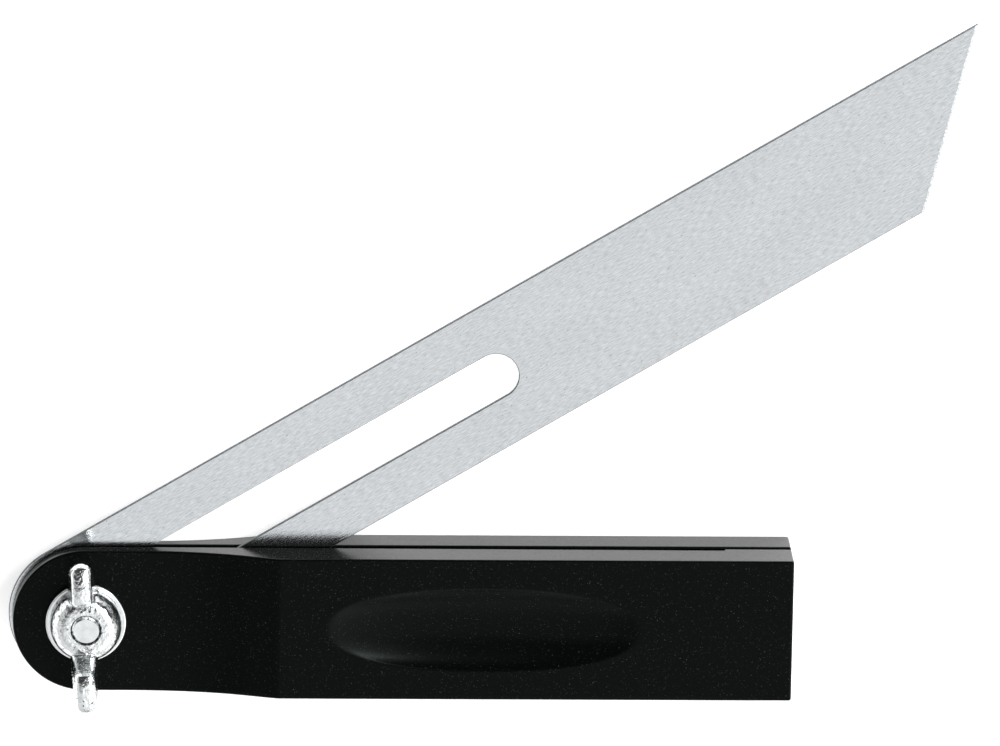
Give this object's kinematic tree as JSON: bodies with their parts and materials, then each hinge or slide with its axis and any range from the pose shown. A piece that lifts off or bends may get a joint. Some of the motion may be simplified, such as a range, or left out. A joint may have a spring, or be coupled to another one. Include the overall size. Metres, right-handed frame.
{
  "type": "sliding bevel",
  "caption": "Sliding bevel: a slotted steel blade with a slanted tip, pinched in the kerf of a black two-part stock by a wing nut, to take and mark angles.",
  "frame": {"origin": "on the surface that the tool lies on, under the middle of its box", "axes": "+X along the stock from the pivot to the butt, +Y towards the side that the blade opens to, +Z out of the face with the wing nut"},
  "size_m": [0.2119, 0.1543, 0.0308],
  "materials": {
    "black_powder_coat": "fine-textured satin black powder coat on a zinc casting",
    "brushed_steel": "ground and brushed along its length",
    "sleeve_steel": "plain rolled steel",
    "zinc_plate": "bright zinc plating"
  },
  "bodies": {
    "stock": {"rear_half": "black_powder_coat", "front_half": "black_powder_coat", "pivot_bolt": "zinc_plate", "butt_screw_upper": "zinc_plate", "butt_screw_lower": "zinc_plate"},
    "pivot": {"pivot_sleeve": "sleeve_steel"},
    "blade": {"blade": "brushed_steel"},
    "washer": {"washer": "zinc_plate"},
    "nut": {"wing_nut": "zinc_plate"}
  },
  "joints": [
    {"name": "blade_swing", "type": "hinge", "parent": "stock", "child": "pivot", "pos_m": [-0.08894, -0.05981, 0.0095], "axis": [0, 0, 1], "range_deg": [-17.5, 314.5]},
    {"name": "blade_slide", "type": "slide", "parent": "pivot", "child": "blade", "axis": [-0.8572, -0.515, 0], "range_m": [-0.0008, 0.1061]},
    {"name": "washer_lift", "type": "slide", "parent": "stock", "child": "washer", "axis": [0, 0, 1], "range_m": [0, 0.00127]},
    {"name": "wing_nut_turn", "type": "hinge", "parent": "washer", "child": "nut", "pos_m": [-0.08894, -0.05981, 0.016], "axis": [0, 0, 1], "range_deg": [0, 360]}
  ],
  "couplings": [
    {"joint": "washer_lift", "follows": "wing_nut_turn", "m_per_rad": 0.0002021}
  ]
}
